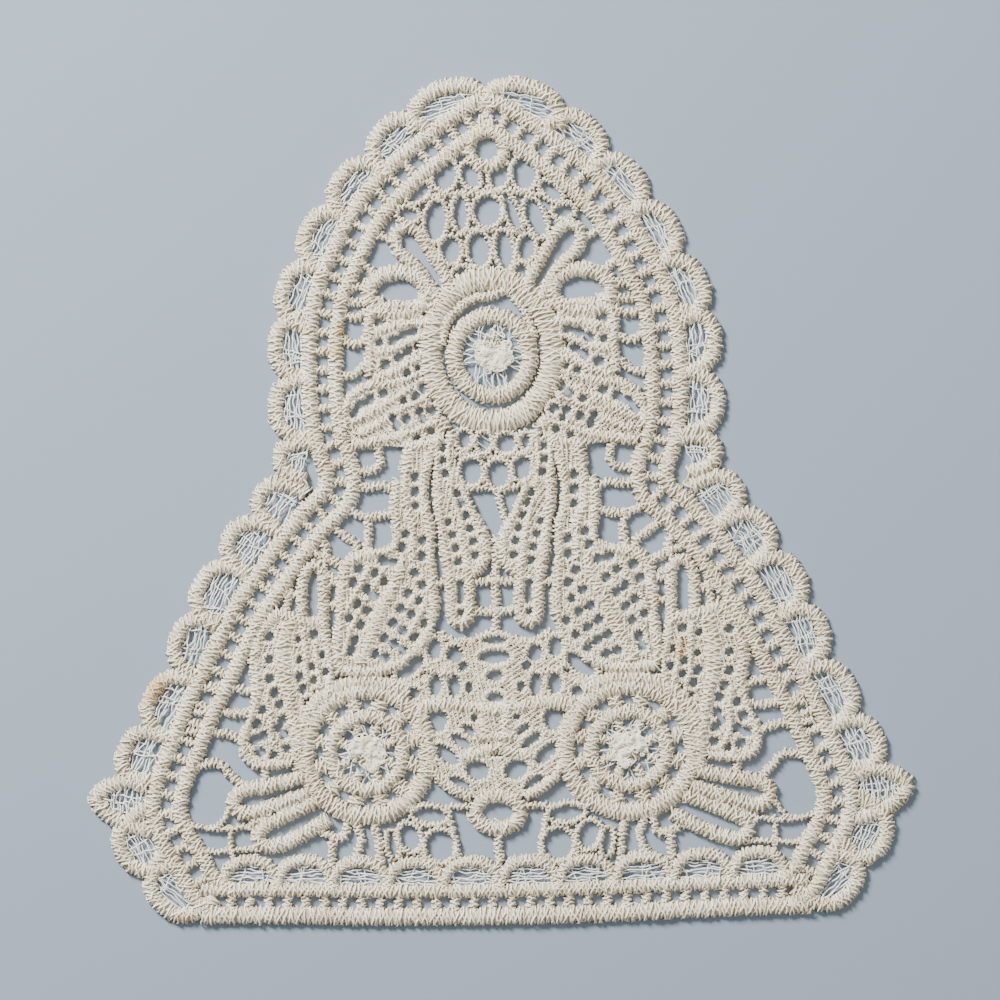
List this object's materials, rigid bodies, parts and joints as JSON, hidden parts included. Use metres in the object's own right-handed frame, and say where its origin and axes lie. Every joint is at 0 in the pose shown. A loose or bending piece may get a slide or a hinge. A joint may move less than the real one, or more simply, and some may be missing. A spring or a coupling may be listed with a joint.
{
  "type": "lace neck patch",
  "caption": "Flat bell-shaped openwork cotton lace patch with a scalloped edge, a ladder border, round flowers and leaf sprays, sewn on at a neckline.",
  "frame": {"origin": "middle of the bounding box, on the underside, which lies on the surface", "axes": "+Z out of the right side of the lace, +Y along its length from the hem to the notched top, +X across it to the right as it is seen from above"},
  "size_m": [0.165, 0.1696, 0.002],
  "materials": {
    "top_ring_cotton": "matt thread-wound cotton",
    "hem_edge_cotton": "matt thread-wound cotton",
    "scallop_edge_left_cotton": "matt thread-wound cotton",
    "scallop_edge_right_cotton": "matt thread-wound cotton",
    "ladder_frame_left_cotton": "matt thread-wound cotton",
    "ladder_frame_right_cotton": "matt thread-wound cotton",
    "top_flower_cotton": "matt thread-wound cotton",
    "rose_left_cotton": "matt thread-wound cotton",
    "rose_right_cotton": "matt thread-wound cotton",
    "finger_leaves_cotton": "matt thread-wound cotton",
    "ear_loops_left_cotton": "matt thread-wound cotton",
    "ear_loops_right_cotton": "matt thread-wound cotton",
    "wing_left_cotton": "matt thread-wound cotton",
    "wing_right_cotton": "matt thread-wound cotton",
    "frond_left_cotton": "matt thread-wound cotton",
    "frond_right_cotton": "matt thread-wound cotton",
    "side_leaf_left_cotton": "matt thread-wound cotton",
    "side_leaf_right_cotton": "matt thread-wound cotton",
    "bow_cotton": "matt thread-wound cotton",
    "top_net_cotton": "matt thread-wound cotton",
    "neck_net_cotton": "matt thread-wound cotton",
    "corner_net_left_cotton": "matt thread-wound cotton",
    "corner_net_right_cotton": "matt thread-wound cotton",
    "hem_net_left_cotton": "matt thread-wound cotton",
    "hem_net_right_cotton": "matt thread-wound cotton"
  },
  "bodies": {
    "root": {"top_ring": "top_ring_cotton", "hem_edge": "hem_edge_cotton", "scallop_edge_left": "scallop_edge_left_cotton", "scallop_edge_right": "scallop_edge_right_cotton", "ladder_frame_left": "ladder_frame_left_cotton", "ladder_frame_right": "ladder_frame_right_cotton", "top_flower": "top_flower_cotton", "rose_left": "rose_left_cotton", "rose_right": "rose_right_cotton", "finger_leaves": "finger_leaves_cotton", "ear_loops_left": "ear_loops_left_cotton", "ear_loops_right": "ear_loops_right_cotton", "wing_left": "wing_left_cotton", "wing_right": "wing_right_cotton", "frond_left": "frond_left_cotton", "frond_right": "frond_right_cotton", "side_leaf_left": "side_leaf_left_cotton", "side_leaf_right": "side_leaf_right_cotton", "bow": "bow_cotton", "top_net": "top_net_cotton", "neck_net": "neck_net_cotton", "corner_net_left": "corner_net_left_cotton", "corner_net_right": "corner_net_right_cotton", "hem_net_left": "hem_net_left_cotton", "hem_net_right": "hem_net_right_cotton"}
  },
  "joints": []
}
